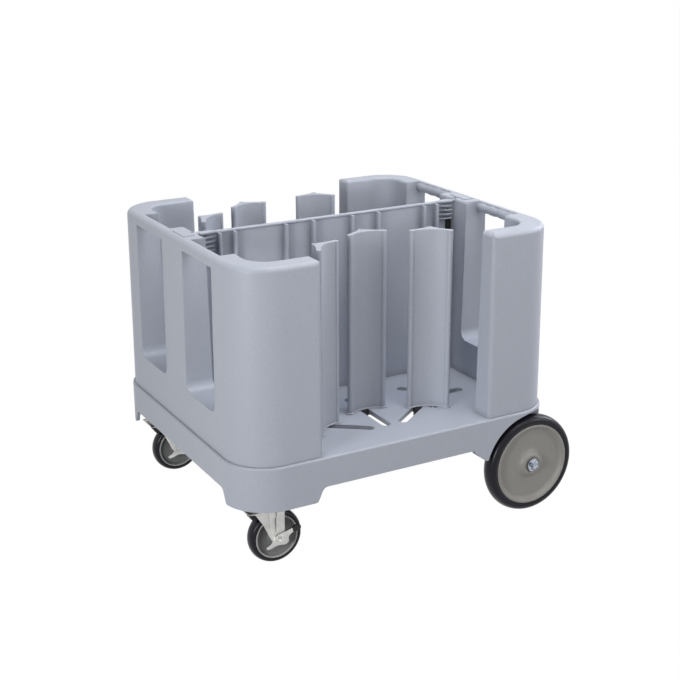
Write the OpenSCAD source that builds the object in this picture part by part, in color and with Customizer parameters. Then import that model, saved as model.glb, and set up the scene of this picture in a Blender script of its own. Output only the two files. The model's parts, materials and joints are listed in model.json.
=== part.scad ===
// Adjustable plate cart: a moulded tray on wheels, two C-shaped end walls with hand holds,
// a ribbed centre divider and six columns that slide along slots in the deck.
// +Z is up, X runs along the cart with the large wheels at +X, and the origin lies on the
// ground under the middle of the bounding box. All sizes are in millimetres.

/* [Tray] */
// Height of the deck above the ground
deck_z = 273; // [255:1:300]
// Length of the tray
tray_len = 870; // [840:1:900]
// Width of the tray
tray_w = 768; // [750:1:800]
// Outer radius of the tray's corners
tray_r = 110; // [90:1:125]
// Thickness of the tray's skirt
skirt_t = 9; // [7:0.5:12]
// Thickness of the deck
deck_t = 12; // [9:0.5:14]
// Rounding of the deck's outer edge
deck_edge_r = 5; // [3:0.5:8]
// Height of the skirt's raised lower edge above the ground
skirt_z = 200; // [190:1:215]
// Height of the feet above the ground
foot_z = 165; // [160:1:180]
// Length of a caster foot, from the tray's end
caster_foot = 183; // [165:1:205]
// Length of a wheel foot, from the tray's end
wheel_foot = 209; // [200:1:225]
// Length of a foot along Y, from the tray's side
end_foot = 92; // [74:1:110]
// Slope of the caster feet's and end feet's inner edge, in degrees
steep_slope = 66; // [55:1:75]
// Slope of the wheel feet's inner edge, in degrees
easy_slope = 42; // [38:1:60]
// Rounding at the bottom of each foot's inner edge
foot_round = 8; // [5:1:12]
// Rounding where a foot's inner edge meets the raised skirt
skirt_round = 16; // [10:1:22]

/* [Deck slots] */
// Width of a slot
slot_w = 24; // [20:0.5:25]
// Shift of all slots along X
slot_shift = -3.5; // [-6:0.5:6]
// Inner and outer end of a cross slot, as shares of the tray's width
cross = [0.125, 0.363]; // [0.1:0.001:0.37]
// Inner end of a diagonal slot, as shares of the tray's length and width
diagonal_in = [0.054, 0.366]; // [0.05:0.001:0.37]
// Bend of a diagonal slot, as shares of the tray's length and width
diagonal_bend = [0.224, 0.224]; // [0.2:0.001:0.24]
// Outer end of a diagonal slot, as shares of the tray's length and width
diagonal_out = [0.324, 0.224]; // [0.2:0.001:0.33]
// Inner end of a side slot, as shares of the tray's length and width
side_in = [0.186, 0.311]; // [0.18:0.001:0.32]
// Outer end of a side slot, as shares of the tray's length and width
side_out = [0.247, 0.271]; // [0.24:0.001:0.28]
// Inner end of a short slot, as shares of the tray's length and width
short_in = [0.181, 0.124]; // [0.12:0.001:0.19]
// Outer end of a short slot, as shares of the tray's length and width
short_out = [0.222, 0.156]; // [0.15:0.001:0.23]

/* [End walls] */
// Height of the walls' top above the ground
wall_top = 735; // [700:1:780]
// Gap between the tray's edge and the walls
ledge = 6; // [4:0.5:10]
// Thickness of an end wall at the deck
end_t = 72; // [66:1:80]
// Thickness of a return at the deck
return_t = 62; // [54:1:70]
// Length of a return, from the tray's end
return_len = 206; // [190:1:220]
// Radius of the walls' inner corners at the deck
inner_r = 45; // [35:1:60]
// Outward draft of the outer faces, in mm per mm
outer_draft = 0.008; // [0.004:0.001:0.012]
// Draft of the inner faces, in mm per mm
inner_draft = 0.018; // [0.01:0.001:0.022]
// Rounding of the walls' outer top edge
top_r = 13; // [8:1:16]
// Rounding of the walls' inner top edge
lip_r = 6; // [3:1:8]
// Rounding of the returns' outer vertical edge
end_edge_r = 10; // [6:1:14]

/* [Hand holds] */
// Half width of the post between the two windows of a wall
post_half = 62; // [55:1:70]
// Distance from a wall's side to a window
window_side = 150; // [138:1:170]
// Height of the windows' sill above the ground
sill_z = 366; // [345:1:400]
// Radius of the windows' lower corners
sill_r = 24; // [15:1:35]
// Height of the grip bar
bar_h = 24; // [20:1:28]
// Depth of the grip bar behind the wall's outer face
bar_d = 22; // [18:1:26]
// Number of finger grips on a bar
grips = 4; // [3:1:6]
// Radius of a finger grip at its middle
grip_r = 14.3; // [13:0.1:15]
// Radius of a finger grip at its ends
grip_end_r = 12.3; // [11:0.1:13]
// Blank plate on a post: depth, width, height
plate_size = [28, 66, 1.5]; // [1:0.5:70]

/* [Divider] */
// Distance from the walls' top down to the divider's top
divider_drop = 2; // [0:0.5:30]
// Thickness of the divider
divider_t = 5; // [4:0.5:8]
// Gap between a post and the divider's end
divider_gap = 16; // [9:0.5:22]
// Diameter of the bead along the divider's top
bead_d = 9; // [7:0.5:12]
// Distance from the middle to each rib, as shares of the divider's half length
rib_at = [0.161, 0.383, 0.784, 0.9]; // [0.1:0.001:0.93]
// Thickness of a rib
rib_t = 4; // [3:0.5:6]
// Distance from the middle to a rib's edge, along Y
rib_half = 20; // [15:0.5:24]
// Distance from the divider's top down to the ribs' top
rib_drop = 5; // [3:0.5:10]
// Distance from the divider's top down to the first fin
fin_drop = 1; // [0.5:0.5:4]
// Number of fins at each end
fins = 5; // [4:1:6]
// Pitch of the fins
fin_pitch = 11.1; // [10:0.1:13]
// Thickness of a fin
fin_t = 3.5; // [2.5:0.5:5]
// Half width of a fin at its widest
fin_half = 12.5; // [10:0.5:16]
// Depth of a tongue under the divider
tongue_h = 10; // [6:1:12]
// Length of a tongue under the divider
tongue_len = 60; // [40:1:80]

/* [Columns] */
// Distance from the walls' top down to the columns' top
column_drop = 8; // [0:0.5:40]
// Distance from a column's middle to the centre of its rounded ends
wing = 46; // [43:0.5:48]
// Radius of a column's rounded ends
wing_r = 7; // [6:0.5:8]
// Hollow of a column's front face
front_hollow = 16; // [12:0.5:17]
// Hollow of each of a column's back faces
back_hollow = 2; // [1:0.5:4]
// Distance from a column's end line to the tip of its back ridge
ridge = 39; // [37:0.5:41]
// Radius of the ridge's round back
ridge_r = 7; // [6:0.5:8]
// Overhang of a column's bottom flange
flange = 3; // [2:0.5:4]
// Thickness of a column's bottom flange
flange_t = 3; // [2:0.5:5]
// Radius of the clamp screw
screw_r = 3; // [2.5:0.5:3]
// Depth of the clamp screw in the column
screw_deep = 45; // [30:1:70]
// Length of the block that slides in a slot
block_len = 24; // [22:1:40]
// Radius of the clamp knob
knob_r = 15; // [12:1:18]
// Height of the clamp knob
knob_h = 14; // [10:1:18]

/* [Large wheels] */
// Diameter of a large wheel
wheel_d = 254; // [240:1:260]
// Distance from the tray's end to the axle
axle_end_gap = 73; // [63:1:85]
// Distance of a wheel's rim face outside the tray's side
rim_out = 3; // [1:0.5:12]
// Width of a large tyre
tyre_w = 44; // [38:1:46]
// Rounding of a large tyre's shoulders
shoulder_r = 16; // [12:0.5:18]
// Radius of the rim under the tyre
rim_r = 104.5; // [98:0.5:108]
// Radius of the axle
axle_r = 8; // [7:0.5:10]
// Gap between tyre and wheel well
well_gap = 11; // [8:0.5:12]
// Radius of the hub's boss
boss_r = 26; // [22:1:30]

/* [Casters] */
// Diameter of a caster wheel
caster_d = 134; // [128:1:138]
// Width of a caster tyre
caster_w = 34; // [28:1:36]
// Distance from the tray's end to the caster pins
pin_end_gap = 79; // [75:1:90]
// Distance from the tray's side to the caster pins
pin_side_gap = 84; // [80:1:100]
// Gap between a caster wheel and its fork
fork_gap = 10.5; // [8:0.5:14]
// Trail of a caster wheel behind its pin
trail = 35; // [30:1:40]
// Radius of a caster wheel's core
core_r = 53; // [48:1:55]
// Radius of the caster's swivel pin
pin_r = 8; // [6:0.5:9]
// Radius of the caster's axle bolt
bolt_r = 6; // [5:0.5:7]
// Thickness of the fork's plates
fork_t = 3.5; // [3:0.5:4]

/* [Fits] */
// Gap between pieces that slide or swing past each other
slide_gap = 0.3; // [0.3:0.1:1]
// Radial clearance of shafts and pins
fit = 0.05; // [0.03:0.01:0.1]

/* [Hidden] */
$fn = 48;
fine = 96;
arc_steps = 6;
eps = 1;

axle_x = tray_len / 2 - axle_end_gap;
pin_x = tray_len / 2 - pin_end_gap;
pin_y = tray_w / 2 - pin_side_gap;
rim_y = tray_w / 2 + rim_out;
return_x = tray_len / 2 - return_len;
x_mid = (axle_x + wheel_d / 2 - tray_len / 2) / 2;
wall_len = tray_len - 2 * ledge;
wall_w = tray_w - 2 * ledge;
wall_r = tray_r - ledge;
wall_h = wall_top - deck_z;
divider_top = wall_top - divider_drop;
column_top = wall_top - column_drop;
deck_under = deck_z - deck_t;
pocket_x = wall_len / 2 - end_t;
pocket_y = wall_w / 2 - return_t;
window_y = wall_w / 2 - window_side;
window_w = window_y - post_half;
divider_x = pocket_x - divider_gap;
rib_x = rib_at * divider_x;
axle_z = wheel_d / 2;
wheel_y = rim_y - tyre_w / 2 + 1;
well_r = wheel_d / 2 + well_gap;
well_skin = 7;
well_y = rim_y - tyre_w - 12;
face_top = wall_len / 2 - outer_draft * wall_h;
bar_x = face_top - bar_d;
post_face_top = pocket_x + inner_draft * wall_h;

// Column places, near side first: the slot's straight stretch, the quarter of the deck, the share of the
// stretch to the clamp screw, the turn of the face, and where the screw lies beside and behind its middle
cross_slot = [[0, cross[0]], [0, cross[1]]];
diagonal_slot = [diagonal_in, diagonal_bend];
outer_slot = [diagonal_bend, diagonal_out];
columns = [
    [diagonal_slot, [-1, -1], 0.58, 37, [15, 14]],
    [cross_slot, [1, -1], 0.37, -1, [-3.5, 16]],
    [diagonal_slot, [1, -1], 0.6, -28, [-20, 13]],
    [outer_slot, [-1, 1], 0.56, 40, [21.5, 13]],
    [diagonal_slot, [-1, 1], 0.3, 8, [22, 12]],
    [diagonal_slot, [1, 1], 0.19, -20, [-20, 12.5]]
];
function on_deck(share, quarter) =
    [slot_shift + quarter[0] * share[0] * tray_len, quarter[1] * share[1] * tray_w];
function slot_end(i, k) = on_deck(columns[i][0][k], columns[i][1]);
function column_place(i) = slot_end(i, 0) + columns[i][2] * (slot_end(i, 1) - slot_end(i, 0));
function slot_turn(i) = let(way = slot_end(i, 1) - slot_end(i, 0)) atan2(way[1], way[0]);

// Bolt places
wall_bolt_r = 4;
wall_bolt_at = [
    [wall_len / 2 - end_t / 2, post_half / 2],
    [wall_len / 2 - end_t / 2, (post_half + window_y) / 2],
    [return_x + return_t / 3, wall_w / 2 - return_t / 2]
];
caster_plate = [90, 76, 5];
caster_bolt_at = [caster_plate[0] / 2 - 10, caster_plate[1] / 2 - 10];
caster_bolt_r = 4;
wall_bolt_deep = 24;
plate_bolt_deep = 17;
bolt_head = 5;
bracket_plate = [84, 56, 6];
bracket_y = rim_y - tyre_w - 23 - bracket_plate[1] / 2;
bracket_bolt_at = [bracket_plate[0] / 2 - 10, 0];

body_color = [0.72, 0.75, 0.79];
steel_color = [0.75, 0.75, 0.76];
black_color = [0.12, 0.12, 0.13];
hub_color = [0.52, 0.51, 0.49];

// Points of an arc about c, from angle a to angle b
function arc(c, r, a, b, n = arc_steps) =
    [for (i = [0:n]) [c[0] + r * cos(a + (b - a) * i / n), c[1] + r * sin(a + (b - a) * i / n)]];

// A shape drawn in X and Z, drawn out along Y
module along_y(y0, y1) {
    translate([0, y1, 0]) rotate([90, 0, 0]) linear_extrude(y1 - y0) children();
}

// A shape drawn in Y and Z, drawn out along X
module along_x(x0, x1) {
    translate([x0, 0, 0]) rotate([90, 0, 90]) linear_extrude(x1 - x0) children();
}

// A profile of radius and height, carried round the four corners of a rectangle of corner centres
module carried_round(cx, cy, z0, profile) {
    height = max([for (p = profile) p[1]]);
    for (sx = [0, 1], sy = [0, 1])
        mirror([sx, 0, 0]) mirror([0, sy, 0])
            translate([cx, cy, z0]) rotate_extrude(angle = 90, $fn = fine) polygon(profile);
    for (sx = [0, 1])
        mirror([sx, 0, 0]) along_y(-cy, cy) translate([cx, z0]) polygon(profile);
    for (sy = [0, 1])
        mirror([0, sy, 0]) along_x(-cx, cx) translate([cy, z0]) polygon(profile);
    translate([-cx, -cy, z0]) cube([2 * cx, 2 * cy, height]);
}

// Base tray

// Outline of the raised stretch of skirt between two feet: half of it, from the middle out
function foot_edge(flat, slope, top) =
    let(
        tall = skirt_z - foot_z,
        line_z = tall - (foot_round + skirt_round) * (1 - cos(slope)),
        line_x = line_z / tan(slope),
        foot_c = [flat, foot_z + foot_round],
        skirt_c = [flat - (foot_round + skirt_round) * sin(slope) - line_x, skirt_z - skirt_round]
    )
    concat([[0, top]], arc(skirt_c, skirt_round, 90, 90 - slope), arc(foot_c, foot_round, 270 - slope, 270),
           [[flat, foot_z - eps], [0, foot_z - eps]]);

module foot_gap(flat, slope) {
    polygon(foot_edge(flat, slope, skirt_z));
}

module tray_shape() {
    h = deck_z - foot_z;
    carried_round(tray_len / 2 - tray_r, tray_w / 2 - tray_r, foot_z,
        concat([[0, 0], [tray_r, 0]], arc([tray_r - deck_edge_r, h - deck_edge_r], deck_edge_r, 0, 90), [[0, h]]));
}

module tray_hollow() {
    r = tray_r - skirt_t;
    h = deck_under - foot_z + eps;
    carried_round(tray_len / 2 - tray_r, tray_w / 2 - tray_r, foot_z - eps, [[0, 0], [r, 0], [r, h], [0, h]]);
}

module wheel_well(r, y0, y1) {
    along_y(y0, y1) translate([axle_x, axle_z]) circle(r, $fn = fine);
}

module slot(from, to) {
    a = on_deck(from, [1, 1]) - [slot_shift, 0];
    b = on_deck(to, [1, 1]) - [slot_shift, 0];
    length = norm(b - a);
    translate([a[0], a[1], deck_under - eps]) rotate([0, 0, atan2(b[1] - a[1], b[0] - a[0])])
        linear_extrude(deck_t + 2 * eps) {
            circle(slot_w / 2);
            translate([length, 0]) circle(slot_w / 2);
            translate([0, -slot_w / 2]) square([length, slot_w]);
        }
}

module deck_slots() {
    translate([slot_shift, 0, 0]) for (sy = [0, 1]) mirror([0, sy, 0]) {
        slot([0, cross[0]], [0, cross[1]]);
        for (sx = [0, 1]) mirror([sx, 0, 0]) {
            slot(diagonal_in, diagonal_bend);
            slot(diagonal_bend, diagonal_out);
            slot(side_in, side_out);
            slot(short_in, short_out);
        }
    }
}

module pad(x, y, size_x, size_y) {
    translate([x - size_x / 2, y - size_y / 2, foot_z]) cube([size_x, size_y, deck_under - foot_z + eps]);
}

module wall_bolt_places() {
    for (sx = [0, 1], sy = [0, 1], p = wall_bolt_at)
        mirror([sx, 0, 0]) mirror([0, sy, 0]) translate([p[0], p[1], 0]) children();
}

module caster_places() {
    for (side = [-1, 1]) translate([-pin_x, side * pin_y, 0]) children();
}

module corner_bolts(at) {
    for (sx = [-1, 1], sy = [-1, 1]) translate([sx * at[0], sy * at[1], 0]) children();
}

module base_tray() {
    color(body_color) difference() {
        union() {
            difference() {
                tray_shape();
                tray_hollow();
            }
            for (side = [-1, 1]) {
                pad(-pin_x, side * pin_y, caster_plate[0] + 6, caster_plate[1] + 12);
                pad(axle_x, side * bracket_y, bracket_plate[0] + 4, bracket_plate[1] + 4);
                intersection() {
                    tray_shape();
                    if (side < 0) wheel_well(well_r + well_skin, -tray_w / 2, -well_y + well_skin);
                    else wheel_well(well_r + well_skin, well_y - well_skin, tray_w / 2);
                }
            }
        }
        wheel_well(well_r, -tray_w / 2 - eps, -well_y);
        wheel_well(well_r, well_y, tray_w / 2 + eps);
        // raised stretches of the long sides
        for (sy = [0, 1]) mirror([0, sy, 0])
            along_y(tray_w / 2 - skirt_t - eps, tray_w / 2 + eps) {
                foot_gap(tray_len / 2 - wheel_foot, easy_slope);
                mirror([1, 0]) foot_gap(tray_len / 2 - caster_foot, steep_slope);
            }
        // raised stretches of the ends
        for (sx = [0, 1]) mirror([sx, 0, 0])
            along_x(tray_len / 2 - skirt_t - eps, tray_len / 2 + eps) {
                foot_gap(tray_w / 2 - end_foot, steep_slope);
                mirror([1, 0]) foot_gap(tray_w / 2 - end_foot, steep_slope);
            }
        deck_slots();
        wall_bolt_places() translate([0, 0, deck_under - eps]) cylinder(r = wall_bolt_r + fit, h = deck_t + 2 * eps);
        caster_places() corner_bolts(caster_bolt_at)
            translate([0, 0, foot_z - eps]) cylinder(r = caster_bolt_r + fit, h = plate_bolt_deep + 3);
        for (side = [-1, 1], s = [-1, 1]) translate([axle_x + s * bracket_bolt_at[0], side * bracket_y, foot_z - eps])
            cylinder(r = caster_bolt_r + fit, h = plate_bolt_deep + 3);
        for (s = [-1, 1]) translate([s * tongue_x - tongue_len / 2 - slide_gap, -divider_t / 2 - slide_gap, deck_under - eps])
            cube([tongue_len + 2 * slide_gap, divider_t + 2 * slide_gap, deck_t + 2 * eps]);
    }
}

// End walls, drawn at +X

function wall_profile() =
    let(x = wall_r - outer_draft * (wall_h - top_r))
    concat([[0, 0], [wall_r, 0]], arc([x - top_r, wall_h - top_r], top_r, 0, 90), [[0, wall_h]]);

function pocket_profile() =
    let(x = inner_r + inner_draft * (wall_h - lip_r))
    concat([[0, 0], [inner_r, 0]], arc([x + lip_r, wall_h - lip_r], lip_r, 180, 90), [[x + lip_r, wall_h + eps], [0, wall_h + eps]]);

module wall_block() {
    cx = wall_len / 2 - wall_r;
    cy = wall_w / 2 - wall_r;
    for (sy = [0, 1]) mirror([0, sy, 0]) {
        translate([cx, cy, deck_z]) rotate_extrude(angle = 90, $fn = fine) polygon(wall_profile());
        along_x(return_x, cx) translate([cy, deck_z]) polygon(wall_profile());
    }
    along_y(-cy, cy) translate([cx, deck_z]) polygon(wall_profile());
}

module wall_pocket() {
    cx = pocket_x - inner_r;
    cy = pocket_y - inner_r;
    for (sy = [0, 1]) mirror([0, sy, 0]) {
        translate([cx, cy, deck_z]) rotate_extrude(angle = 90, $fn = fine) polygon(pocket_profile());
        along_x(return_x - eps, cx) translate([cy, deck_z]) polygon(pocket_profile());
    }
    along_y(-cy, cy) translate([cx, deck_z]) polygon(pocket_profile());
    translate([return_x - eps, -cy, deck_z]) cube([cx - return_x + eps, 2 * cy, wall_h + eps]);
}

module window_shape(top) {
    translate([post_half + sill_r, sill_z]) square([window_w - 2 * sill_r, top - sill_z]);
    translate([post_half, sill_z + sill_r]) square([window_w, top - sill_z - sill_r]);
    for (y = [post_half + sill_r, window_y - sill_r]) translate([y, sill_z + sill_r]) circle(sill_r);
}

module windows() {
    for (sy = [0, 1]) mirror([0, sy, 0]) {
        along_x(pocket_x - 20, bar_x) window_shape(wall_top + eps);
        along_x(bar_x - eps, wall_len / 2 + eps) window_shape(wall_top - bar_h);
    }
}

// The corner between a quarter round and the sharp edge it replaces
module edge_cut(r) {
    difference() {
        translate([-eps, -eps]) square(r + eps);
        translate([r, r]) circle(r);
    }
}

module return_end_rounds() {
    tall = wall_h + 2 * eps;
    translate([return_x, -wall_w / 2, deck_z - eps]) rotate([-atan(outer_draft), 0, 0])
        linear_extrude(tall) edge_cut(end_edge_r);
    translate([return_x, -pocket_y, deck_z - eps]) rotate([atan(inner_draft), 0, 0])
        linear_extrude(tall) mirror([0, 1]) edge_cut(lip_r);
    along_y(-wall_w / 2 - eps, -pocket_y + eps)
        translate([return_x, wall_top]) mirror([0, 1]) edge_cut(end_edge_r);
}

module finger_grips() {
    pitch = window_w / grips;
    profile = concat([[0, -eps], [grip_end_r, -eps]],
        [for (k = [1:2 * arc_steps * grips - 1])
            [grip_end_r + (grip_r - grip_end_r) * abs(sin(90 * k / arc_steps)), k * pitch / 2 / arc_steps]],
        [[grip_end_r, window_w + eps], [0, window_w + eps]]);
    for (sy = [0, 1])
        mirror([0, sy, 0]) translate([bar_x + 6, window_y, wall_top - grip_r - 0.5])
            rotate([90, 0, 0]) rotate_extrude() polygon(profile);
}

module end_wall() {
    color(body_color) difference() {
        union() {
            difference() {
                wall_block();
                wall_pocket();
                windows();
                for (sy = [0, 1]) mirror([0, sy, 0]) return_end_rounds();
            }
            finger_grips();
        }
        for (sy = [0, 1], p = wall_bolt_at) mirror([0, sy, 0]) translate([p[0], p[1], deck_z - eps])
            cylinder(r = wall_bolt_r + fit, h = wall_bolt_deep + 2 + eps);
        // notch for the end of the divider's bead
        translate([pocket_x, -bead_d / 2 - slide_gap, divider_top - bead_d - slide_gap])
            cube([bead_x + slide_gap - pocket_x, bead_d + 2 * slide_gap, 2 * bead_d]);
    }
}

module caster_end_wall() {
    mirror([1, 0, 0]) end_wall();
}

module wheel_end_wall() {
    end_wall();
}

module post_plates() {
    x = (post_face_top + face_top) / 2 - 2;
    color(body_color) for (s = [-1, 1])
        translate([s * x - plate_size[0] / 2, -plate_size[1] / 2, wall_top]) cube(plate_size);
}

module wall_bolts() {
    color(steel_color) wall_bolt_places() translate([0, 0, deck_under]) {
        cylinder(r = wall_bolt_r, h = deck_t + wall_bolt_deep);
        translate([0, 0, -bolt_head]) cylinder(r = 2 * wall_bolt_r, h = bolt_head, $fn = 6);
    }
}

// Centre divider

tongue_x = (rib_x[1] + rib_x[2]) / 2;
pad_t = 3;
fin_x = divider_x + 15;
bead_x = pocket_x + 18;

// One fin from above: thin beside the last rib and wide beside the post
function fin_outline() =
    let(
        x0 = rib_x[3] + rib_t / 2 - 0.5,
        side = [for (i = [0:arc_steps]) [x0 + (fin_x - x0) * i / arc_steps,
                divider_t / 2 + (fin_half - divider_t / 2) * sin(90 * i / arc_steps)]]
    )
    concat(side, [for (i = [arc_steps:-1:0]) [side[i][0], -side[i][1]]]);

module rib() {
    edge = rib_half - bead_d / 2 + 0.5;
    translate([-rib_t / 2, -edge, deck_z]) cube([rib_t, 2 * edge, divider_top - rib_drop - deck_z]);
    for (s = [-1, 1]) translate([0, s * edge, deck_z])
        cylinder(d = bead_d - 1, h = divider_top - rib_drop - deck_z);
}

module centre_divider() {
    top = divider_top - bead_d / 2;
    color(body_color) {
        translate([-divider_x, -divider_t / 2, deck_z]) cube([2 * divider_x, divider_t, top - deck_z]);
        translate([-bead_x, 0, top]) rotate([0, 90, 0]) cylinder(d = bead_d, h = 2 * bead_x);
        for (s = [-1, 1]) {
            for (x = rib_x) translate([s * x, 0, 0]) rib();
            translate([s * tongue_x - tongue_len / 2, -divider_t / 2, deck_z - tongue_h])
                cube([tongue_len, divider_t, tongue_h + eps]);
        }
        for (sx = [0, 1], i = [0:fins - 1]) mirror([sx, 0, 0])
            translate([0, 0, divider_top - fin_drop - i * fin_pitch]) mirror([0, 0, 1])
                linear_extrude(fin_t) polygon(fin_outline());
    }
}

module divider_pads() {
    top = divider_top - fin_drop - (fins - 1) * fin_pitch - fin_t - 1.5;
    color(black_color) for (s = [-1, 1])
        translate([s > 0 ? divider_x : -divider_x - pad_w, -divider_t / 2 - pad_t, deck_z])
            cube([pad_w, divider_t + 2 * pad_t, top - deck_z]);
}

pad_w = pocket_x - divider_x - slide_gap;

// Columns

// The circle that hollows a face from p to q by h, its centre on the left of the way from p to q
function hollow_r(p, q, h) = (pow(norm(q - p) / 2, 2) + h * h) / (2 * h);
function hollow_c(p, q, h) =
    let(m = (p + q) / 2, n = [-(q - p)[1], (q - p)[0]] / norm(q - p))
    m + n * (hollow_r(p, q, h) - h);

module column_shape(grow) {
    front = [[wing, -wing_r], [-wing, -wing_r]];
    back = [[-wing, wing_r], [-ridge_r, ridge - ridge_r]];
    difference() {
        union() {
            polygon([
                [-wing, -wing_r - grow], [wing, -wing_r - grow], [wing, wing_r + grow],
                [ridge_r + grow, ridge - ridge_r], [-ridge_r - grow, ridge - ridge_r], [-wing, wing_r + grow]
            ]);
        }
        translate(hollow_c(front[0], front[1], front_hollow))
            circle(hollow_r(front[0], front[1], front_hollow) - grow, $fn = fine);
        for (sx = [0, 1]) mirror([sx, 0])
            translate(hollow_c(back[0], back[1], back_hollow))
                circle(hollow_r(back[0], back[1], back_hollow) - grow, $fn = fine);
    }
    for (s = [-1, 1]) translate([s * wing, 0]) circle(wing_r + grow);
    translate([0, ridge - ridge_r]) circle(ridge_r + grow);
}

module at_screw(i) {
    translate(column_place(i)) rotate([0, 0, columns[i][3]]) children();
}

ridge_hole = 25;

module column(i) {
    z = deck_z + slide_gap;
    color(body_color) at_screw(i) difference() {
        translate(-columns[i][4]) difference() {
            union() {
                translate([0, 0, z]) linear_extrude(flange_t) column_shape(flange);
                translate([0, 0, z]) linear_extrude(column_top - z) column_shape(0);
            }
            translate([0, ridge - ridge_r, column_top - ridge_hole]) cylinder(r = 2.2, h = ridge_hole + eps);
        }
        translate([0, 0, deck_z]) cylinder(r = screw_r + fit, h = screw_deep);
    }
}

sole_t = 3;

// A block that keeps the column in its slot, with a plate below the deck
module column_foot(i) {
    block_w = slot_w - 1;
    sole_w = slot_w + 14;
    color(black_color) difference() {
        translate(column_place(i)) rotate([0, 0, slot_turn(i)]) {
            translate([-block_len / 2, -block_w / 2, deck_under - slide_gap - eps])
                cube([block_len, block_w, deck_t + 2 * slide_gap + eps]);
            translate([-block_len / 2, -sole_w / 2, deck_under - slide_gap - sole_t])
                cube([block_len, sole_w, sole_t]);
        }
        at_screw(i) translate([0, 0, deck_under - 10]) cylinder(r = screw_r + fit, h = deck_t + 12);
    }
}

module clamp_knob(i) {
    z = deck_under - slide_gap - sole_t;
    color(black_color) at_screw(i) {
        translate([0, 0, z - knob_h]) difference() {
            cylinder(r = knob_r, h = knob_h);
            for (a = [0:60:300]) rotate([0, 0, a]) translate([knob_r + 2, 0, -eps]) cylinder(r = 5, h = knob_h - 3);
        }
        translate([0, 0, z - eps]) cylinder(r = screw_r, h = deck_z - z + screw_deep - 3);
    }
}

// Large wheels and axle

axle_end = rim_y + 12;
hub_in = rim_y - tyre_w + 2;
washer_t = 2.5;
hub_out = rim_y + 2;
washer_in = hub_out + slide_gap;
pin_out = washer_in + washer_t + 4;

module wheel_axle() {
    color(steel_color) difference() {
        along_y(-axle_end, axle_end) translate([axle_x, axle_z]) circle(axle_r);
        for (s = [-1, 1]) at_cotter(s) cylinder(r = 2 + fit, h = 40, center = true);
    }
}

module axle_brackets() {
    color(black_color) for (s = [-1, 1]) translate([axle_x, s * bracket_y, 0]) difference() {
        union() {
            translate([-bracket_plate[0] / 2, -bracket_plate[1] / 2, foot_z - bracket_plate[2]]) cube(bracket_plate);
            along_y(-bracket_plate[1] / 2, bracket_plate[1] / 2) {
                translate([0, axle_z]) circle(axle_r + 9);
                translate([-axle_r - 9, axle_z]) square([2 * axle_r + 18, foot_z - axle_z - bracket_plate[2] / 2]);
            }
        }
        along_y(-bracket_plate[1], bracket_plate[1]) translate([0, axle_z]) circle(axle_r + fit);
        for (t = [-1, 1]) translate([t * bracket_bolt_at[0], 0, foot_z - 20]) cylinder(r = caster_bolt_r + fit, h = 30);
    }
}

module bracket_bolts() {
    color(steel_color) for (s = [-1, 1], t = [-1, 1])
        translate([axle_x + t * bracket_bolt_at[0], s * bracket_y, foot_z - bracket_plate[2]]) {
            cylinder(r = caster_bolt_r, h = bracket_plate[2] + plate_bolt_deep);
            translate([0, 0, -bolt_head]) cylinder(r = caster_bolt_r + 3, h = bolt_head, $fn = 6);
        }
}

module axle_washers() {
    color(steel_color) for (s = [-1, 1]) mirror([0, s > 0 ? 0 : 1, 0])
        along_y(washer_in, washer_in + washer_t) translate([axle_x, axle_z]) difference() {
            circle(2 * axle_r);
            circle(axle_r + fit);
        }
}

module axle_spacers() {
    color(steel_color) for (s = [-1, 1]) mirror([0, s > 0 ? 0 : 1, 0])
        along_y(bracket_y + bracket_plate[1] / 2, hub_in - slide_gap) translate([axle_x, axle_z]) difference() {
            circle(axle_r + 4);
            circle(axle_r + fit);
        }
}

cotter_turn = 35;

module at_cotter(s) {
    translate([axle_x, s * pin_out, axle_z]) rotate([0, 90 + cotter_turn, 0]) children();
}

module cotter_pins() {
    color(steel_color) for (s = [-1, 1]) at_cotter(s) {
        translate([0, 0, -axle_r - 5]) cylinder(r = 2, h = 2 * axle_r + 7);
        translate([0, 0, axle_r + 4]) rotate([90, 0, 0]) rotate_extrude() translate([2.8, 0]) circle(1.2);
    }
}

// Half section of the hub, radius and distance outward from the wheel's middle plane
module hub_section() {
    out = rim_y - wheel_y;
    in = tyre_w / 2 - 4;
    lip = rim_r - 9;
    polygon(concat(
        [[axle_r + 3, hub_out - wheel_y], [boss_r - 5, hub_out - wheel_y]],
        [[boss_r, hub_out - wheel_y - 10], [boss_r + 3, out - 11], [lip - 8, out - 10]],
        arc([lip - 8, out - 2], 8, 270, 360, 4),
        [[lip + 2, out], [rim_r, out - 1], [rim_r, -in]],
        [[rim_r - 5, -in], [lip - 4, out - 18], [boss_r + 2, out - 19], [boss_r - 2, hub_in - wheel_y], [axle_r + 3, hub_in - wheel_y]]
    ));
}

module at_wheel(side) {
    translate([axle_x, side * wheel_y, axle_z]) rotate([-90 * side, 0, 0]) children();
}

module wheel_hub(side) {
    color(hub_color) at_wheel(side) rotate_extrude($fn = fine) hub_section();
}

module wheel_tyre(side) {
    r = wheel_d / 2;
    w = tyre_w / 2;
    color(black_color) at_wheel(side) rotate_extrude($fn = fine) polygon(concat(
        [[rim_r, -w + 2]],
        arc([r - shoulder_r - 0.5, -w + shoulder_r], shoulder_r, 270, 360),
        [[r, 0]],
        arc([r - shoulder_r - 0.5, w - shoulder_r], shoulder_r, 0, 90),
        [[rim_r, w - 2]]
    ));
}

module hub_bush(side) {
    color([0.85, 0.85, 0.82]) at_wheel(side) translate([0, 0, hub_in - wheel_y]) difference() {
        cylinder(r = axle_r + 3, h = hub_out - hub_in);
        translate([0, 0, -eps]) cylinder(r = axle_r + fit, h = hub_out - hub_in + 2 * eps);
    }
}

// Casters, drawn with the swivel pin on the Z axis and the wheel trailing to +X

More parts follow.
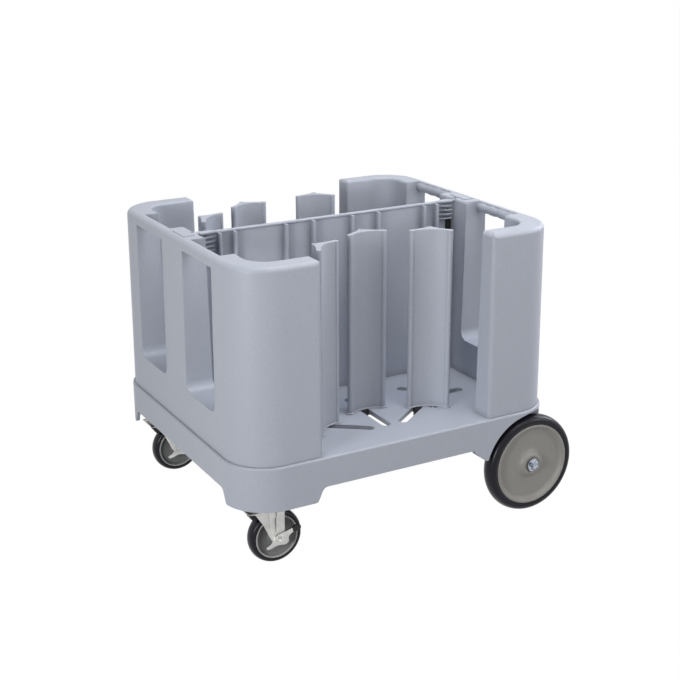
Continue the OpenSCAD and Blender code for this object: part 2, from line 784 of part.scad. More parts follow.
caster_z = caster_d / 2;
fork_in = caster_w / 2 + fork_gap;
fork_out = fork_in + fork_t;
crown_z = caster_d + 12;
plate_z = foot_z - caster_plate[2];
crown_back = 44;
crown_front = 16;
lever_t = 3;
lever_in = fork_out + slide_gap;
lever_out = lever_in + lever_t;

module at_caster(side) {
    translate([-pin_x, side * pin_y, 0]) children();
}

module caster_plate_piece(side) {
    color(steel_color) at_caster(side) difference() {
        translate([-caster_plate[0] / 2, -caster_plate[1] / 2, plate_z]) cube(caster_plate);
        corner_bolts(caster_bolt_at) translate([0, 0, plate_z - eps])
            cylinder(r = caster_bolt_r + fit, h = caster_plate[2] + 2 * eps);
        translate([0, 0, plate_z - eps]) cylinder(r = pin_r + fit, h = caster_plate[2] + 2 * eps);
    }
}

module caster_plate_bolts() {
    color(steel_color) caster_places() corner_bolts(caster_bolt_at) {
        translate([0, 0, plate_z]) cylinder(r = caster_bolt_r, h = caster_plate[2] + plate_bolt_deep);
        translate([0, 0, plate_z - bolt_head]) cylinder(r = caster_bolt_r + 3, h = bolt_head, $fn = 6);
    }
}

module caster_pin(side) {
    color(steel_color) at_caster(side) {
        translate([0, 0, crown_z - 6]) cylinder(r = pin_r, h = foot_z - crown_z + 6);
        translate([0, 0, crown_z - slide_gap - 6]) cylinder(r = pin_r + 5, h = 6);
    }
}

module caster_race(side) {
    top = plate_z - slide_gap;
    color(steel_color) at_caster(side) rotate_extrude() polygon([
        [pin_r + fit, crown_z + fork_t], [30, crown_z + fork_t], [30, crown_z + fork_t + 5],
        [24, top], [pin_r + fit, top]
    ]);
}

// Side view of a fork leg: wide under the crown, narrow at the axle
module leg_shape() {
    difference() {
        polygon(concat(
            [[trail + crown_front, crown_z + fork_t], [-crown_back, crown_z + fork_t], [-crown_back, crown_z],
             [crown_front - trail - 4, crown_z - 2]],
            arc([trail, caster_z], 15, 206, 360)
        ));
        translate([trail, caster_z]) circle(bolt_r + fit);
    }
}

module caster_fork(side) {
    color(steel_color) at_caster(side) {
        along_y(-fork_out, -fork_in) leg_shape();
        along_y(fork_in, fork_out) leg_shape();
        translate([0, 0, crown_z]) difference() {
            translate([-crown_back, -fork_out, 0]) cube([trail + crown_front + crown_back, 2 * fork_out, fork_t]);
            translate([0, 0, -eps]) cylinder(r = pin_r + fit, h = fork_t + 2 * eps);
        }
    }
}

module on_caster_axle() {
    translate([trail, 0, caster_z]) rotate([90, 0, 0]) children();
}

module caster_core(side) {
    h = caster_w / 2 - 1;
    hub = fork_in - slide_gap;
    color(hub_color) at_caster(side) on_caster_axle() rotate_extrude($fn = fine) polygon([
        [bolt_r + fit, -hub], [14, -hub], [16, -h + 3], [core_r - 6, -h + 3], [core_r - 4, -h], [core_r, -h],
        [core_r, h], [core_r - 4, h], [core_r - 6, h - 3], [16, h - 3], [14, hub], [bolt_r + fit, hub]
    ]);
}

module caster_tyre(side) {
    r = caster_d / 2;
    w = caster_w / 2;
    color(black_color) at_caster(side) on_caster_axle() rotate_extrude($fn = fine) polygon(concat(
        [[core_r, -w + 2]],
        arc([r - 9, -w + 8], 8, 270, 350, 5),
        [[r, 0]],
        arc([r - 9, w - 8], 8, 10, 90, 5),
        [[core_r, w - 2]]
    ));
}

module caster_bolt(side) {
    color(steel_color) at_caster(side) on_caster_axle() {
        translate([0, 0, -fork_out - 1]) cylinder(r = bolt_r, h = 2 * fork_out + lever_t + 2);
        translate([0, 0, lever_out + slide_gap]) cylinder(r = 9.5, h = 7, $fn = 6);
        translate([0, 0, -fork_out - 6]) cylinder(r = 9.5, h = 6, $fn = 6);
    }
}

// Side view of the brake lever about the axle: an arm up to the right, two feet below
module lever_shape() {
    difference() {
        union() {
            circle(17);
            polygon([[12, -10], [49, 15], [46, 26], [8, 14]]);
            polygon([[0, -9], [-14, -5], [-35, -11], [-37, -18], [-28, -22], [-2, -14]]);
            polygon([[12, -8], [2, -12], [12, -21], [23, -20], [22, -13]]);
        }
        circle(bolt_r + fit);
    }
}

module brake_lever(side) {
    color(steel_color) at_caster(side) translate([trail, -lever_in, caster_z]) along_y(-lever_t, 0) lever_shape();
}

// Rubber tips: a sleeve on the lever's arm
module brake_tips(side) {
    color(black_color) at_caster(side) translate([trail, -lever_in, caster_z]) difference() {
        along_y(-lever_t - 3, 0) polygon([[38, 8], [52, 14], [55, 21], [52, 29], [34, 27]]);
        along_y(-lever_t, eps) lever_shape();
    }
}

module place() {
    translate([-x_mid, 0, 0]) children();
}

place() base_tray();
place() caster_end_wall();
place() wheel_end_wall();
place() post_plates();
place() wall_bolts();
place() centre_divider();
place() divider_pads();
for (i = [0:5]) {
    place() column(i);
    place() column_foot(i);
    place() clamp_knob(i);
}
place() wheel_axle();
place() axle_brackets();
place() bracket_bolts();
place() axle_spacers();
place() axle_washers();
place() cotter_pins();
place() caster_plate_bolts();
for (s = [["near", -1], ["far", 1]]) {
    place() wheel_hub(s[1]);
    place() wheel_tyre(s[1]);
    place() hub_bush(s[1]);
    place() caster_plate_piece(s[1]);
    place() caster_pin(s[1]);
    place() caster_race(s[1]);
    place() caster_fork(s[1]);
    place() caster_core(s[1]);
    place() caster_tyre(s[1]);
    place() caster_bolt(s[1]);
    place() brake_lever(s[1]);
    place() brake_tips(s[1]);
}
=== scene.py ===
# %% [markdown]
# # A plate cart
# The cart is a moulded tray on wheels. Two C-shaped end walls and a ribbed divider stand on it, and six
# columns slide along slots in its deck to hold stacks of plates. The CAD frame gives every piece its place.
# This notebook gives the cart its looks: the finishes, the light, and finer wheels, forks and brakes.

# %% Load the frame
import json
import math

import bmesh
import bpy
from mathutils import Matrix, Vector


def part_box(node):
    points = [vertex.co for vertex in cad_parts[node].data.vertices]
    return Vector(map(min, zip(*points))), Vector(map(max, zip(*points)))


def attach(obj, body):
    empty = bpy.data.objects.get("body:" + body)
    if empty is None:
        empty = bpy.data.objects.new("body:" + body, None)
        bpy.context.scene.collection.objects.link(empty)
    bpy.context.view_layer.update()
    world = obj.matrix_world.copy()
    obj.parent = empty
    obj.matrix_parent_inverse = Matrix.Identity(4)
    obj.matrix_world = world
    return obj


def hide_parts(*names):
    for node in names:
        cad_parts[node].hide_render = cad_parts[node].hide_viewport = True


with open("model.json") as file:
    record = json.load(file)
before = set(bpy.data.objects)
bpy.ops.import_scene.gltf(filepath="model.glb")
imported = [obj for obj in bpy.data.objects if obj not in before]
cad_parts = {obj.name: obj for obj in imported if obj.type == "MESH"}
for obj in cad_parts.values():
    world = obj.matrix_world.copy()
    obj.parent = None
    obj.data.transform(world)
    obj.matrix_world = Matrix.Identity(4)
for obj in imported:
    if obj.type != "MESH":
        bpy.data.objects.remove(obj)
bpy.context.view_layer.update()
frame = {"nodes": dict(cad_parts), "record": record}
nodes = frame["nodes"]

# %% [markdown]
# The finishes below are worked out with sums and products of patterns. A node graph for a sum is long to
# write by hand, so a small class wraps a socket and lets Python's own operators add the Math nodes. A
# second class holds a node tree and adds any other node by its type, its settings and its inputs. A third
# is a tree with a Principled shader in it, which is what every finish here is.

# %% Shader maths as Python
class Wire:
    """A shader value that can be added to, multiplied and so on."""

    def __init__(self, graph, socket):
        self.graph, self.socket = graph, socket

    def worked_out(self, operation, first, second):
        return self.graph.node("ShaderNodeMath", {"operation": operation}, {0: first, 1: second})

    def __add__(self, other):
        return self.worked_out("ADD", self, other)

    def __radd__(self, other):
        return self.worked_out("ADD", other, self)

    def __sub__(self, other):
        return self.worked_out("SUBTRACT", self, other)

    def __rsub__(self, other):
        return self.worked_out("SUBTRACT", other, self)

    def __mul__(self, other):
        return self.worked_out("MULTIPLY", self, other)

    def __rmul__(self, other):
        return self.worked_out("MULTIPLY", other, self)


# %% A node tree
class Graph:
    """A node tree of a material or of the world."""

    def __init__(self, tree):
        self.nodes, self.links = tree.nodes, tree.links

    def join(self, value, socket):
        """Links a wire to a socket, or writes a plain value or a colour on it."""
        if isinstance(value, Wire):
            self.links.new(value.socket, socket)
        elif isinstance(value, tuple) and len(value) == 3 and socket.type == "RGBA":
            socket.default_value = (*value, 1.0)
        else:
            socket.default_value = value

    def set_inputs(self, node, inputs):
        for name, value in inputs.items():
            self.join(value, node.inputs[name])

    def node(self, kind, settings=None, inputs=None, out=0):
        """Adds a node, with its settings first, and gives one of its outputs."""
        node = self.nodes.new(kind)
        for name, value in (settings or {}).items():
            if name == "stops":
                ramp = node.color_ramp.elements
                while len(ramp) < len(value):
                    ramp.new(0.5)
                for element, (place, color) in zip(ramp, value):
                    element.position, element.color = place, (*color, 1.0)
            else:
                setattr(node, name, value)
        self.set_inputs(node, inputs or {})
        return Wire(self, node.outputs[out])

    def mixed(self, share, first, second):
        """Mixes two shaders, with that share of the second."""
        return self.node("ShaderNodeMixShader", None, {0: share, 1: first, 2: second})

    def white_where_seen(self, shader, white):
        """Shows the white one to camera and mirror rays, and the other to all the rest."""
        to_camera = self.node("ShaderNodeLightPath", out="Is Camera Ray")
        in_mirror = self.node("ShaderNodeLightPath", out="Is Glossy Ray")
        is_seen = self.node("ShaderNodeMath", {"operation": "MAXIMUM"}, {0: to_camera, 1: in_mirror})
        return self.mixed(is_seen, shader, white)


# %% A finish
class Finish(Graph):
    """One material, with its Principled shader ready to be fed."""

    def __init__(self, name, **sockets):
        self.material = bpy.data.materials.new(name)
        self.material.use_nodes = True
        super().__init__(self.material.node_tree)
        self.shader = self.nodes["Principled BSDF"]
        self.feed(**sockets)

    def feed(self, **sockets):
        self.set_inputs(self.shader, {name.replace("_", " "): value for name, value in sockets.items()})

    def place(self):
        return self.node("ShaderNodeTexCoord", out="Object")

    def noise(self, scale, detail, roughness, place):
        inputs = {"Vector": place, "Scale": scale, "Detail": detail, "Roughness": roughness}
        return self.node("ShaderNodeTexNoise", None, inputs)

    def ramp(self, value, *stops):
        return self.node("ShaderNodeValToRGB", {"stops": stops}, {0: value})

    def spread(self, value, low, high, to_low, to_high):
        return self.node("ShaderNodeMapRange", None, {0: value, 1: low, 2: high, 3: to_low, 4: to_high})

    def bump(self, height, depth, strength, edge=0.0012):
        """Relief on the skin, over a normal that is rounded at the edges."""
        round_edge = self.node("ShaderNodeBevel", {"samples": 4}, {"Radius": edge})
        inputs = {"Height": height, "Distance": depth, "Strength": strength, "Normal": round_edge}
        self.feed(Normal=self.node("ShaderNodeBump", None, inputs))


# %% [markdown]
# The camera stands where the photograph's camera stood. Its place, turn and focal length were worked out
# from the wheels and the moulded edges, and the photograph is a square of 680 pixels.

# %% Camera
camera_place = Vector((-1.53618, -2.75490, 1.46981))
camera_yaw, camera_pitch, camera_roll = 1.0626, 0.3270, -0.0040
focal_px, photo_px, sensor_mm = 1291.94, 680, 36.0

camera = bpy.data.objects.new("camera", bpy.data.cameras.new("camera"))
bpy.context.collection.objects.link(camera)
bpy.context.scene.camera = camera
camera.data.sensor_width = sensor_mm
camera.data.lens = focal_px / photo_px * sensor_mm
camera.location = camera_place
aim = Matrix.Rotation(camera_yaw - math.pi / 2, 4, "Z") @ Matrix.Rotation(math.pi / 2 - camera_pitch, 4, "X")
camera.rotation_euler = (aim @ Matrix.Rotation(camera_roll, 4, "Z")).to_euler()
print("lens", round(camera.data.lens, 2), "mm")

# %% [markdown]
# The photograph has soft light and a plain white background. So the world is white, but only for the camera
# and for reflections. It gives the cart itself very little light, and leaves that to the lamps.

# %% World
bpy.context.scene.view_settings.view_transform = "Standard"

world = bpy.data.worlds.new("studio")
bpy.context.scene.world = world
world.use_nodes = True
sky = Graph(world.node_tree)
sky_fill = sky.nodes["Background"]
sky.set_inputs(sky_fill, {"Color": (0.90, 0.94, 1.0), "Strength": 0.05})
backdrop = sky.node("ShaderNodeBackground", None, {"Color": (1, 1, 1), "Strength": 1.0})
surface = sky.white_where_seen(Wire(sky, sky_fill.outputs[0]), backdrop)
sky.set_inputs(sky.nodes["World Output"], {"Surface": surface})

# %% [markdown]
# Seven soft lamps were placed by the brightness of each face in the photograph. A large lamp at the caster
# end and a small low one by the near corner light the end face and its round corner, three shine in from
# above, one lights the near side from the right, and a wide bluish one fills the wheel end.

# %% Lamps
def lamp(name, place, aim_at, size, power, color):
    """A square soft lamp that looks at a point."""
    light = bpy.data.lights.new(name, "AREA")
    light.size, light.energy, light.color = size, power, color
    holder = bpy.data.objects.new(name, light)
    bpy.context.collection.objects.link(holder)
    holder.location = place
    holder.rotation_euler = (Vector(aim_at) - Vector(place)).to_track_quat("-Z", "Y").to_euler()
    holder.visible_camera = False


lamp("window side", (-2.7, -1.5, 1.5), (0, 0, 0.5), 1.2, 16, (0.94, 1.0, 0.98))
lamp("low corner", (-2.75, -1.55, 0.9), (-0.3, -0.3, 0.5), 0.7, 35, (1.0, 1.0, 1.0))
lamp("inside", (0.1, -0.5, 2.3), (0.35, 0.3, 0.5), 0.8, 14, (1.0, 1.0, 1.0))
lamp("overhead", (0.3, 0.3, 3.4), (0, 0, 0.4), 2.4, 27, (0.90, 0.95, 1.0))
lamp("above near side", (0.6, -2.2, 2.6), (0, 0, 0.4), 1.6, 17, (1.0, 0.98, 0.95))
lamp("near right", (2.4, -2.0, 1.6), (0.2, 0, 0.4), 1.4, 22, (1.0, 0.99, 0.97))
lamp("wheel end", (3.4, 0.0, 2.0), (0, 0, 0.4), 1.8, 60, (0.82, 0.86, 1.0))
print(len(bpy.data.lights), "lamps")

# %% [markdown]
# The floor has to look white and still catch a trace of the cart's shadow. A camera or mirror ray sees a mix
# of painted floor and white glow. All other rays meet a grey diffuse floor, so that it throws only a little
# light up under the tray. Seen from below it is clear, which lets a view of the underside through.

# %% Floor
floor_size = 60
glow_strength, glow_share = 1.01, 0.985
bounce_color = (0.42, 0.42, 0.42)

bpy.ops.mesh.primitive_plane_add(size=floor_size)
floor = bpy.context.object
floor.name = "floor"
floor_paint = Finish("floor", Base_Color=(0.93, 0.93, 0.93), Roughness=0.9)
glow = floor_paint.node("ShaderNodeEmission", None, {"Strength": glow_strength})
seen = floor_paint.mixed(glow_share, Wire(floor_paint, floor_paint.shader.outputs[0]), glow)
bounce = floor_paint.node("ShaderNodeBsdfDiffuse", None, {"Color": bounce_color})
from_above = floor_paint.white_where_seen(bounce, seen)
from_below = floor_paint.node("ShaderNodeNewGeometry", out="Backfacing")
clear = floor_paint.node("ShaderNodeBsdfTransparent")
one_way = floor_paint.mixed(from_below, from_above, clear)
floor_paint.set_inputs(floor_paint.nodes["Material Output"], {"Surface": one_way})
floor.data.materials.append(floor_paint.material)

# %% [markdown]
# The cart's large pieces are one pale grey-blue polyethylene, coloured right through. Its mould was etched,
# so the skin has a fine pebble that shows as faint grain. Noise of three sizes makes the pebble, the specks
# and the slow change of tone that such mouldings have. An Ambient Occlusion node finds the corners and
# darkens the colour there, which is painted shade. Polyethylene flows over the edges of its mould, so a
# Bevel node rounds each edge in the shading.

# %% Moulded plastic
broad_scale, speck_scale = 26, 260
mottle, speck_gain = 0.05, 4.5
# How far the painted corner shade reaches.
painted_shade_reach = 0.022
# How much lighter the painted highlight on a foot is, and the height over which it fades.
painted_highlight_tone, painted_highlight_fade = 1.30, 0.0004
roughness_swing = 0.10
pebble_strength = 0.7


def moulded(name, color, roughness, grain=900, relief=0.00022, gloss=0.35, edge=0.0012, painted_corner_shade=0.0,
            painted_highlight_to=None):
    """A moulded skin. It may have painted shade in its corners and a painted highlight on its foot up to a
    height.
    """
    finish = Finish(name, Specular_IOR_Level=gloss)
    place = finish.place()
    fine = finish.noise(grain, 2.0, 0.6, place)
    broad = finish.noise(broad_scale, 3.0, 0.6, place)
    speck = finish.noise(speck_scale, 2.0, 0.6, place)
    corners = {"samples": 4, "only_local": False}
    open_air = finish.node("ShaderNodeAmbientOcclusion", corners, {"Distance": painted_shade_reach}, out=1)
    tone = 1 - mottle / 2 + mottle * (0.4 * fine + 0.3 * broad) + speck_gain * mottle * (speck - 0.5)
    # Painted shade: the colour is darkened where the Ambient Occlusion factor finds corners and creases.
    tone = tone * (1 - painted_corner_shade + painted_corner_shade * open_air)
    # Painted highlight: the colour is lighter up to the given height, where a column's flange catches the
    # light.
    if painted_highlight_to:
        height = finish.node("ShaderNodeSeparateXYZ", None, {0: place}, out=2)
        tone = tone * finish.spread(height, painted_highlight_to, painted_highlight_to + painted_highlight_fade, painted_highlight_tone, 1.0)
    shade = finish.node("ShaderNodeHueSaturation", None, {"Value": tone, "Color": color})
    finish.feed(Base_Color=shade, Roughness=roughness + roughness_swing * (fine - 0.5))
    coarse = finish.noise(grain / 4, 1.0, 0.5, place)
    finish.bump(fine + 0.35 * coarse, relief, pebble_strength, edge)
    return finish


# %% [markdown]
# The walls have the roundest edges of all. A column is the same plastic, but the thin flange at its foot
# catches the light and shows paler. So its finish is painted lighter up to the flange's top, a painted
# highlight.

# %% Polyethylene
# The cart's plastic gets painted shade in its corners.
polyethylene = {"color": (0.448, 0.472, 0.542), "roughness": 0.42, "gloss": 0.45, "painted_corner_shade": 0.45}
flange_height = 0.0032

body = moulded("body plastic", **polyethylene)
wall_plastic = moulded("wall plastic", edge=0.004, **polyethylene)
# A column's foot flange gets a painted highlight.
column_plastic = moulded("column plastic", **polyethylene,
                         painted_highlight_to=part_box("column_1")[0][2] + flange_height)

# %% [markdown]
# The small pieces are other plastics and rubbers. They are smoother than the cart's skin, so their grain is
# finer and their relief lower. The tyres are a very dark blue-black, with a soft shine on their shoulders.

# %% Small plastics and rubber
hub_plastic = moulded("hub plastic", (0.315, 0.302, 0.285), 0.42, grain=1600, relief=0.00008)
black_plastic = moulded("black plastic", (0.018, 0.018, 0.020), 0.5, grain=1400, relief=0.0001)
core_plastic = moulded("caster core", (0.20, 0.20, 0.20), 0.38, grain=1500, relief=0.0001)
ring_plastic = moulded("ring plastic", (0.46, 0.46, 0.46), 0.35, grain=1500, relief=0.00005)
nylon = moulded("nylon bush", (0.60, 0.60, 0.56), 0.4, grain=1500, relief=0.00005)
tyre_rubber = moulded("tyre rubber", (0.010, 0.010, 0.016), 0.26, grain=700, relief=0.0001, gloss=0.2)
grip_rubber = moulded("grip rubber", (0.012, 0.012, 0.012), 0.55, grain=900, relief=0.00015)

# %% [markdown]
# The metal is zinc plate, which shows faint cloudy patches. Clouds of noise pick between a darker and a
# lighter metal colour, and the same clouds change how rough it is. The washers, the axle and the cotter pins
# have small, bluish patches with more contrast.

# %% Zinc plate
def zinc_plate(name, dark, light, patches):
    finish = Finish(name, Metallic=1.0)
    place = finish.place()
    cloud = finish.noise(patches, 4.0, 0.6, place)
    fine = finish.noise(700, 2.0, 0.5, place)
    finish.feed(Base_Color=finish.ramp(cloud, (0.38, dark), (0.62, light)))
    finish.feed(Roughness=0.26 + 0.14 * cloud)
    finish.bump(fine, 0.00006, 0.6)
    return finish


zinc = zinc_plate("zinc plate", (0.44, 0.44, 0.44), (0.58, 0.58, 0.56), 22)
blue_zinc = zinc_plate("blue zinc plate", (0.13, 0.16, 0.21), (0.58, 0.62, 0.68), 210)

# %% [markdown]
# Every CAD piece names a material slot in the record, and most take the finish of that slot. A few pieces
# have a finish of their own. Their meshes stay as the CAD made them.

# %% Dress the CAD pieces
# The divider's black end pads from the CAD stand in the narrow pockets beside the posts, and their black is
# painted shade for those deep pockets.
finish_of_slot = {
    "body": body, "seal": grip_rubber, "black_plastic": black_plastic, "zinc": zinc, "hub": hub_plastic,
    "bush": nylon, "core": core_plastic, "tyre": tyre_rubber, "black_rubber": grip_rubber,
}
finish_of_node = {
    "axle_washers": blue_zinc, "wheel_axle": blue_zinc, "cotter_pins": blue_zinc,
    "caster_end_wall": wall_plastic, "wheel_end_wall": wall_plastic,
}
for number in range(1, 7):
    finish_of_node[f"column_{number}"] = column_plastic

for entry in frame["record"]["subparts"]:
    name = entry["node"]
    finish = finish_of_node.get(name, finish_of_slot[entry["material_slot"]])
    nodes[name].data.materials.clear()
    nodes[name].data.materials.append(finish.material)

# %% [markdown]
# The wheels are turned parts, so each is one outline spun about its axle. The outline is a few corner
# points in order, given as radius and distance outward from the wheel's middle plane, in millimetres. A
# corner may also have a rounding and a number of segments. A vertex bevel rounds it before the spin, which
# is much easier than rounding the finished ring.

# %% Outlines
mm_in_metre = 1000


def outline_of(corners):
    """A closed outline in the plane of X and Y, with its corners rounded."""
    shape = bmesh.new()
    verts = [shape.verts.new((x / mm_in_metre, y / mm_in_metre, 0)) for x, y, *_ in corners]
    for one, two in zip(verts, verts[1:] + verts[:1]):
        shape.edges.new((one, two))
    for vert, (_, _, *rounding) in zip(verts, corners):
        if rounding:
            radius, segments = rounding
            bmesh.ops.bevel(shape, geom=[vert], offset=radius / mm_in_metre, segments=segments,
                            profile=0.5, affect="VERTICES", material=-1)
    return shape


# %% Turned pieces
same_point = 0.000005


def finish_mesh(shape, name, sharp_over):
    """Merges doubles, turns faces outwards and makes the object, with edges sharp over that angle."""
    bmesh.ops.remove_doubles(shape, verts=shape.verts, dist=same_point)
    bmesh.ops.recalc_face_normals(shape, faces=shape.faces)
    mesh = bpy.data.meshes.new(name)
    shape.to_mesh(mesh)
    shape.free()
    piece = bpy.data.objects.new(name, mesh)
    bpy.context.collection.objects.link(piece)
    mesh.shade_smooth()
    mesh.set_sharp_from_angle(angle=math.radians(sharp_over))
    return piece


def turned(name, centre, side, corners, steps=128):
    """Spins an outline about an axle along Y. Its outer face looks to -Y where side is -1, or else to +Y."""
    shape = outline_of(corners)
    bmesh.ops.spin(shape, geom=shape.verts[:] + shape.edges[:], cent=(0, 0, 0), axis=(0, 1, 0),
                   dvec=(0, 0, 0), angle=2 * math.pi, steps=steps, use_merge=True)
    bmesh.ops.scale(shape, vec=(1, side, 1), verts=shape.verts)
    bmesh.ops.translate(shape, vec=centre, verts=shape.verts)
    return finish_mesh(shape, name, sharp_over=35)


# %% Places and bodies
def middle_of(name):
    low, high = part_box(name)
    return (Vector(low) + Vector(high)) / 2


def put_on(piece, body_name, slot, finish, *replaced):
    """The piece rides on a body, wears a finish and may stand for CAD nodes."""
    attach(piece, body_name)
    if replaced:
        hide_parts(*replaced)
    piece.data.materials.append(finish.material)
    print(piece.name, "faces", len(piece.data.polygons))


# %% [markdown]
# The large wheels have a solid rubber tyre with a flat sidewall and round shoulders, on a taupe plastic
# disc. The disc is dished behind a narrow lip, and its boss stands out with a shallow recess for the
# washer.

# %% Large wheels
tyre_outline = [
    (104.6, 19.5), (111, 21.6, 2, 3), (119, 20.4, 5, 4), (126.6, 10.5, 9, 6), (127, 0),
    (126.6, -10.5, 9, 6), (119, -20.4, 5, 4), (111, -21.6, 2, 3), (104.6, -19.5),
]
disc_outline = [
    (104.7, 18), (104.7, 21.2, 1.4, 3), (98.5, 21.2, 2.2, 4), (94, 10, 7, 6), (34, 9.5, 9, 6), (29, 20, 5, 5),
    (21, 23, 1.5, 3), (19.5, 20.5, 1, 2), (11.05, 20.5),
    (11.05, -20), (26, -20), (29, -2, 3, 3), (90, 0, 5, 3), (99, -18), (104.7, -18),
]
for side, end in ((-1, "near"), (1, "far")):
    centre = middle_of("wheel_tyre_" + end)
    tyre = turned("large_tyre_" + end, centre, side, tyre_outline)
    put_on(tyre, "wheel_" + end, "tyre", tyre_rubber, "wheel_tyre_" + end)
    disc = turned("large_disc_" + end, centre, side, disc_outline)
    put_on(disc, "wheel_" + end, "hub", hub_plastic, "wheel_hub_" + end)

# %% [markdown]
# A caster has a rubber tyre on a dark plastic core, and a bright ring lies in a groove at each side of the
# core's rim. The core is dished between its hub and its rim. All four are turned, as the large wheels are.

# %% Caster wheels
caster_tyre_outline = [
    (52.6, 14.5), (56, 16.8, 1.5, 3), (61.5, 16.2, 3, 4), (66, 10, 5, 5), (67, 0), (66, -10, 5, 5),
    (61.5, -16.2, 3, 4), (56, -16.8, 1.5, 3), (52.6, -14.5),
]
core_outline = [
    (52.6, 14.0), (50.0, 14.0, 1, 2), (46, 8, 3, 3), (20, 5.5, 3, 3), (15.5, 15, 2, 3), (13.5, 27.1),
    (6.05, 27.1), (6.05, -27.1),
    (13.5, -27.1), (15.5, -15, 2, 3), (20, -5.5, 3, 3), (46, -8, 3, 3), (50.0, -14.0, 1, 2), (52.6, -14.0),
]
ring_outline = [(54, 14), (54, 16.6, 1, 3), (50.4, 16.6, 1, 3), (49.8, 13.5)]
for end in ("near", "far"):
    hub_middle = middle_of("caster_tyre_" + end)
    wheel = "caster_" + end + "_wheel"
    tyre = turned("caster_tread_" + end, hub_middle, -1, caster_tyre_outline, 96)
    put_on(tyre, wheel, "tyre", tyre_rubber, "caster_tyre_" + end)
    core = turned("caster_hub_" + end, hub_middle, -1, core_outline, 96)
    put_on(core, wheel, "core", core_plastic, "caster_core_" + end)
    for face, which in ((-1, "_out"), (1, "_in")):
        ring = turned("caster_ring_" + end + which, hub_middle, face, ring_outline, 96)
        put_on(ring, wheel, "core", ring_plastic)

# %% [markdown]
# The fork and the brake lever are pressed from steel sheet. Such a part is made by filling an outline,
# extruding it to its thickness and bevelling its rim a little. It is drawn flat, in millimetres from the
# wheel's middle, and stood up beside the wheel afterwards. A nut or a boss is made in the same way from a
# regular outline.

# %% Sheet parts
same_height = 1e-7


def sheet(corners, low, high, edge=0.4):
    """An outline cut from sheet that fills the space from low to high, with slightly rounded edges."""
    shape = outline_of(corners)
    bmesh.ops.contextual_create(shape, geom=shape.edges[:])
    grown = bmesh.ops.extrude_face_region(shape, geom=shape.faces[:])
    top = [item for item in grown["geom"] if isinstance(item, bmesh.types.BMVert)]
    bmesh.ops.translate(shape, vec=(0, 0, (high - low) / mm_in_metre), verts=top)
    bmesh.ops.translate(shape, vec=(0, 0, low / mm_in_metre), verts=shape.verts)
    bmesh.ops.recalc_face_normals(shape, faces=shape.faces)
    rim = [one for one in shape.edges if abs(one.verts[0].co.z - one.verts[1].co.z) < same_height]
    bmesh.ops.bevel(shape, geom=rim, offset=edge / mm_in_metre, segments=2, profile=0.5, affect="EDGES",
                    material=-1, clamp_overlap=True)
    return shape


def prism(radius, low, high, edge, sides, turn=0.0):
    """A nut or a round boss along the outward axis."""
    angles = [turn + 2 * math.pi * k / sides for k in range(sides)]
    return sheet([(radius * math.cos(angle), radius * math.sin(angle)) for angle in angles], low, high, edge)


def stand_up(shapes, name, middle):
    """Joins shapes drawn flat and stands them upright beside a wheel, with their front to -Y."""
    whole = bmesh.new()
    for shape in shapes:
        mesh = bpy.data.meshes.new("part")
        shape.to_mesh(mesh)
        shape.free()
        whole.from_mesh(mesh)
        bpy.data.meshes.remove(mesh)
    upright = Matrix(((1, 0, 0, middle.x), (0, 0, -1, middle.y), (0, 1, 0, middle.z), (0, 0, 0, 1)))
    bmesh.ops.transform(whole, matrix=upright, verts=whole.verts)
    bmesh.ops.recalc_face_normals(whole, faces=whole.faces)
    return finish_mesh(whole, name, sharp_over=30)


# %% [markdown]
# The fork's two legs stand 27.5 mm from the wheel's middle plane, under one top plate. The outer leg has a
# pressed rib, and a second plate lies on it. The brake lever turns on the axle: a pressed teardrop with a
# rubber-sleeved arm and two feet. The rib and the second plate end above it, so that it clears them when it
# is pressed. A black shoe sits behind the wheel, between the legs.

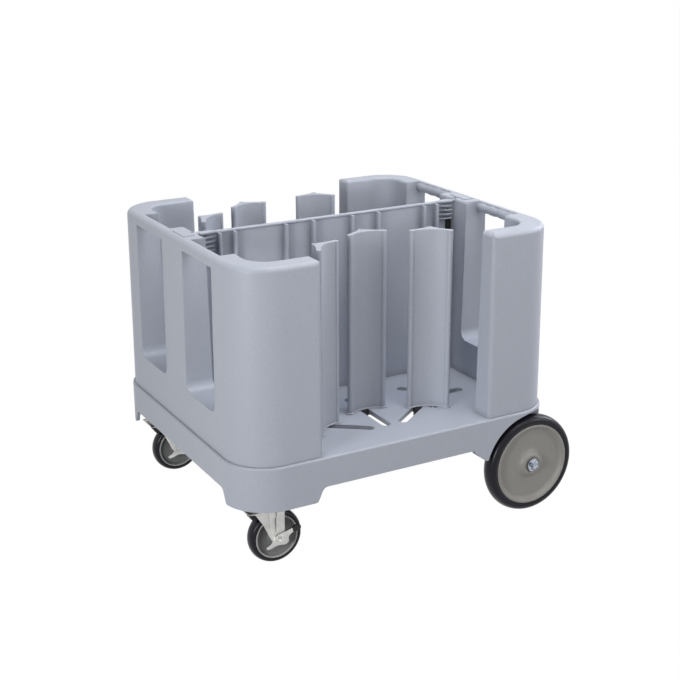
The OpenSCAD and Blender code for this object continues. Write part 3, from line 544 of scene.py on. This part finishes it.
# %% Fork, lever and axle outlines
leg_outline = [
    (-79, 82), (-79, 78.5), (-61, 76, 3, 3), (-42.5, 47), (-21, 1, 6, 4), (-12, -13, 9, 5), (6, -15.5, 9, 5),
    (14.5, -4, 6, 4), (13, 30, 12, 3), (14, 78.5), (16, 82),
]
rib_outline = [(-29, 79, 2, 3), (-13, 79, 2, 3), (-12.5, 18, 4, 4), (-19, 9.5, 4, 4), (-25, 20, 4, 3)]
brake_plate_outline = [(-8, 81), (-8, 61, 1, 2), (-10.5, 56, 1, 2), (-10.5, 21), (3, 21), (12, 27), (12, 81)]
lever_outline = [
    (-15, 7, 6, 4), (-5, 15, 8, 4), (10, 17, 6, 4), (28, 22, 8, 4), (47, 27), (50, 17), (34, 14.5, 8, 4),
    (20, 3, 6, 4), (23, -10, 5, 4), (12, -16, 6, 4), (1, -13, 4, 3), (-10, -13, 5, 3), (-27, -19, 5, 4),
    (-36, -18, 4, 4), (-36, -11, 4, 4), (-24, -7, 6, 4),
]
sleeve_outline = [
    (34, 12, 2, 3), (48, 12.5, 3, 3), (54.5, 21, 3, 4), (50, 29.5, 3, 3), (38, 29, 3, 3), (31, 24, 2, 3),
]
shoe_outline = [(-71, 75, 2, 3), (-47, 75, 2, 3), (-44, 60, 4, 3), (-53, 50, 4, 4), (-60, 53, 4, 3)]
top_plate_outline = [(-79, 78.6), (-79, 82), (16, 82), (16, 78.6)]
leg_inside, leg_outside = 27.5, 31

# %% Both casters' forks
for end in ("near", "far"):
    middle = middle_of("caster_tyre_" + end)
    swivel = "caster_" + end
    fork = stand_up([
        sheet(leg_outline, leg_inside, leg_outside), sheet(leg_outline, -leg_outside, -leg_inside),
        sheet(rib_outline, 30.8, 33, 1.4), sheet(brake_plate_outline, 31.2, 34.2, 0.8),
        sheet(top_plate_outline, -leg_outside, leg_outside, 0.8),
    ], "fork_" + end, middle)
    put_on(fork, swivel, "zinc", zinc, "caster_fork_" + end)
    axle = stand_up([
        prism(9.6, 35.2, 41.6, 1.2, 6, 0.3),  # nut
        prism(5.6, 41, 44.5, 0.9, 24),  # the bolt's end
        prism(11.5, 34.5, 35.4, 0.3, 32),  # washer
        prism(9.6, -37, -31, 1.2, 6, 0.1),  # the bolt's head
        prism(6, -31.5, 34.6, 0.3, 24),  # the bolt itself
    ], "caster_axle_" + end, middle)
    put_on(axle, swivel, "zinc", zinc, "caster_bolt_" + end)
    shoe = stand_up([sheet(shoe_outline, -15, 15, 1.5)], "brake_shoe_" + end, middle)
    put_on(shoe, swivel, "black_rubber", grip_rubber)
    lever = stand_up([sheet(lever_outline, 31.4, 34.4, 1.1)], "lever_" + end, middle)
    put_on(lever, "brake_" + end, "zinc", zinc, "brake_lever_" + end)
    sleeve = stand_up([sheet(sleeve_outline, 30.2, 36.6, 1.6)], "lever_sleeve_" + end, middle)
    put_on(sleeve, "brake_" + end, "black_rubber", grip_rubber, "brake_tips_" + end)
